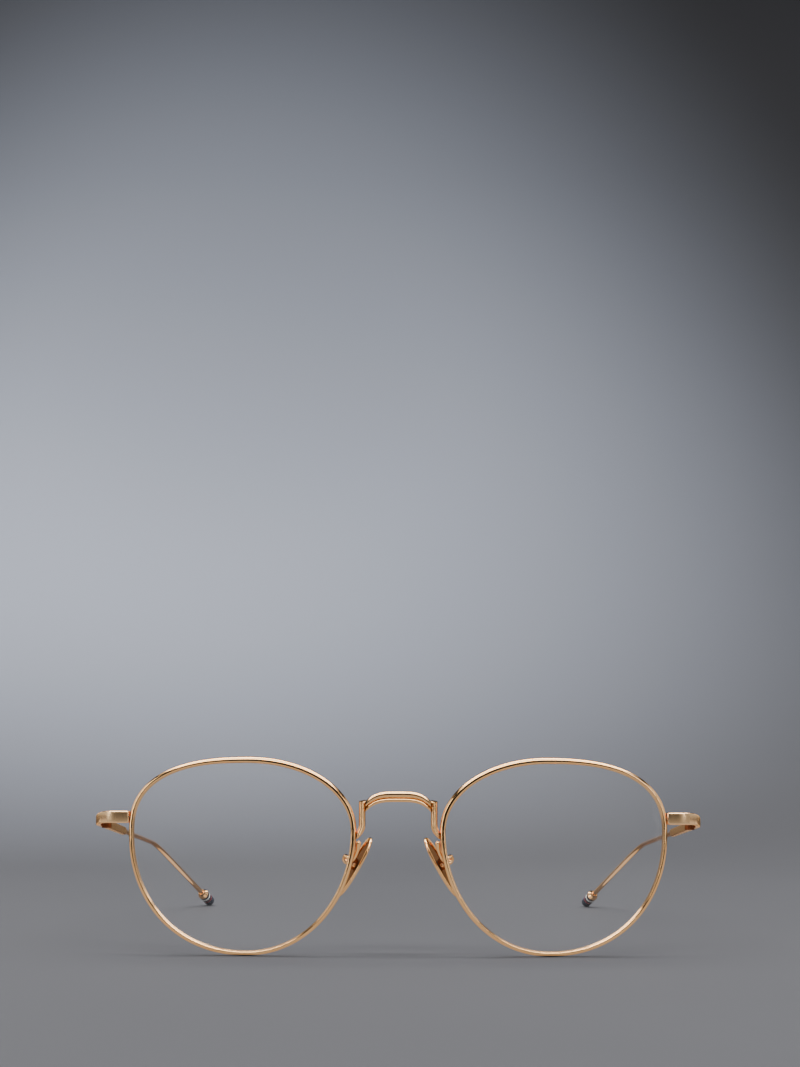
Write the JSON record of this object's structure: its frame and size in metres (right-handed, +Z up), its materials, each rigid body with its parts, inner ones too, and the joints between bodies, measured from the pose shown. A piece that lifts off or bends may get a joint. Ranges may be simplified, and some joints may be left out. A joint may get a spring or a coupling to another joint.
{
  "type": "eyeglasses",
  "caption": "Round thin-metal eyeglasses with clear lenses, a ridged bridge bar, metal nose pads on wire arms, and strap temples drawn down to wires with rounded tips.",
  "frame": {"origin": "on the surface the glasses stand on, under the middle of their bounding box", "axes": "+Z up, lenses face -Y, open temples run back along +Y, +X towards the wearer's left"},
  "size_m": [0.1374, 0.1502, 0.0443],
  "materials": {
    "polished_gold": "polished",
    "satin_gold": "satin brushed",
    "screw_gold": "polished",
    "demo_lens": "clear",
    "navy_tip": "gloss",
    "cream_ring": "gloss",
    "red_ring": "gloss"
  },
  "bodies": {
    "front": {"bridge_bar": "polished_gold", "rim_left": "polished_gold", "lens_left": "demo_lens", "bridge_post_left": "polished_gold", "pad_arm_left": "polished_gold", "pad_box_left": "polished_gold", "pad_screw_left": "screw_gold", "endpiece_left": "satin_gold", "rim_lock_upper_left": "polished_gold", "rim_lock_lower_left": "polished_gold", "rim_screw_left": "screw_gold", "hinge_front_left": "polished_gold", "hinge_screw_left": "screw_gold", "rim_right": "polished_gold", "lens_right": "demo_lens", "bridge_post_right": "polished_gold", "pad_arm_right": "polished_gold", "pad_box_right": "polished_gold", "pad_screw_right": "screw_gold", "endpiece_right": "satin_gold", "rim_lock_upper_right": "polished_gold", "rim_lock_lower_right": "polished_gold", "rim_screw_right": "screw_gold", "hinge_front_right": "polished_gold", "hinge_screw_right": "screw_gold"},
    "temple_left": {"temple_left": "satin_gold", "hinge_temple_left": "polished_gold", "tip_collar_left": "polished_gold", "tip_bead_left": "navy_tip", "tip_ring_fore_left": "cream_ring", "tip_ring_aft_left": "red_ring"},
    "temple_right": {"temple_right": "satin_gold", "hinge_temple_right": "polished_gold", "tip_collar_right": "polished_gold", "tip_bead_right": "navy_tip", "tip_ring_fore_right": "cream_ring", "tip_ring_aft_right": "red_ring"},
    "pad_left": {"nose_pad_left": "polished_gold", "pad_lug_left": "polished_gold"},
    "pad_right": {"nose_pad_right": "polished_gold", "pad_lug_right": "polished_gold"}
  },
  "joints": [
    {"name": "temple_left_fold", "type": "hinge", "parent": "front", "child": "temple_left", "pos_m": [0.06638, -0.06222, 0.02935], "axis": [0, 0, 1], "range_deg": [0, 86]},
    {"name": "temple_right_fold", "type": "hinge", "parent": "front", "child": "temple_right", "pos_m": [-0.06638, -0.06222, 0.02935], "axis": [0, 0, -1], "range_deg": [0, 83]},
    {"name": "pad_left_rock", "type": "hinge", "parent": "front", "child": "pad_left", "pos_m": [0.00998, -0.06736, 0.02022], "axis": [0.142, 0.9609, 0.2379], "range_deg": [-6, 6]},
    {"name": "pad_right_rock", "type": "hinge", "parent": "front", "child": "pad_right", "pos_m": [-0.00998, -0.06736, 0.02022], "axis": [0.142, -0.9609, -0.2379], "range_deg": [-6, 6]}
  ]
}
